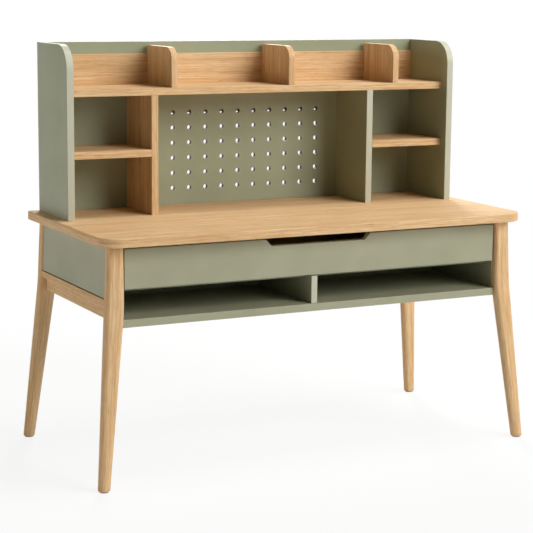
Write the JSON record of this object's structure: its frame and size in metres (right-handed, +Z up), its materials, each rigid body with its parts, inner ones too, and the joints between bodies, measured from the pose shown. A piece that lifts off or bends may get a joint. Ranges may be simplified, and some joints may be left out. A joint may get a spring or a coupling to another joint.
{
  "type": "student desk with hutch",
  "caption": "Oak and sage green student desk on splayed tapered legs, with a wide notched drawer over an open shelf and a hutch with a peg board and shelves on top",
  "frame": {"origin": "on the floor, under the middle of the four feet", "axes": "+X to the sitter's right, +Y from the sitter to the wall, +Z up"},
  "size_m": [1.439, 0.687, 1.237],
  "materials": {
    "oak": "oak veneer, matt oil",
    "sage_lacquer": "fibreboard, satin sage lacquer",
    "birch_ply": "birch plywood, clear lacquer",
    "zinc_steel": "zinc-plated steel",
    "beech": "fluted beech dowel, raw",
    "nylon": "moulded nylon"
  },
  "bodies": {
    "desk": {"desktop": "oak", "leg_front_left": "oak", "leg_front_right": "oak", "leg_back_left": "oak", "leg_back_right": "oak", "side_ledge_left": "oak", "side_ledge_right": "oak", "side_rail_left": "oak", "side_rail_right": "oak", "back_rail": "oak", "hutch_upper_shelf": "oak", "hutch_strip": "oak", "hutch_partition_left": "oak", "hutch_lower_shelf_left": "oak", "hutch_lower_shelf_right": "oak", "hutch_fin_left": "oak", "hutch_fin_centre": "oak", "hutch_fin_right": "oak", "side_panel_left": "sage_lacquer", "side_panel_right": "sage_lacquer", "shelf_lip": "sage_lacquer", "shelf_floor": "sage_lacquer", "carcass_wall_left": "sage_lacquer", "carcass_wall_right": "sage_lacquer", "carcass_back": "sage_lacquer", "dust_board": "sage_lacquer", "shelf_divider": "sage_lacquer", "top_stretcher": "sage_lacquer", "hutch_side_left": "sage_lacquer", "hutch_side_right": "sage_lacquer", "peg_board": "sage_lacquer", "hutch_partition_right": "sage_lacquer", "hutch_batten": "sage_lacquer", "leg_studs": "zinc_steel", "shelf_screws": "zinc_steel", "stretcher_screws": "zinc_steel", "peg_board_screws": "zinc_steel", "wall_runner_screws": "zinc_steel", "runner_outer_left": "zinc_steel", "runner_outer_right": "zinc_steel", "rail_dowels": "beech", "hutch_dowels": "beech", "foot_glides": "nylon"},
    "slide_middle": {"runner_middle_left": "zinc_steel", "runner_middle_right": "zinc_steel"},
    "drawer": {"drawer_front": "sage_lacquer", "drawer_side_left": "birch_ply", "drawer_side_right": "birch_ply", "drawer_back": "birch_ply", "drawer_floor": "birch_ply", "drawer_cams": "zinc_steel", "cam_bolts": "zinc_steel", "drawer_dowels": "beech", "box_runner_screws": "zinc_steel", "runner_inner_left": "zinc_steel", "runner_inner_right": "zinc_steel"}
  },
  "joints": [
    {"name": "drawer_slide", "type": "slide", "parent": "desk", "child": "drawer", "axis": [0, -1, 0], "range_m": [0, 0.3]},
    {"name": "runner_slide", "type": "slide", "parent": "desk", "child": "slide_middle", "axis": [0, -1, 0], "range_m": [0, 0.15]}
  ],
  "couplings": [
    {"joint": "runner_slide", "follows": "drawer_slide", "ratio": 0.5}
  ]
}
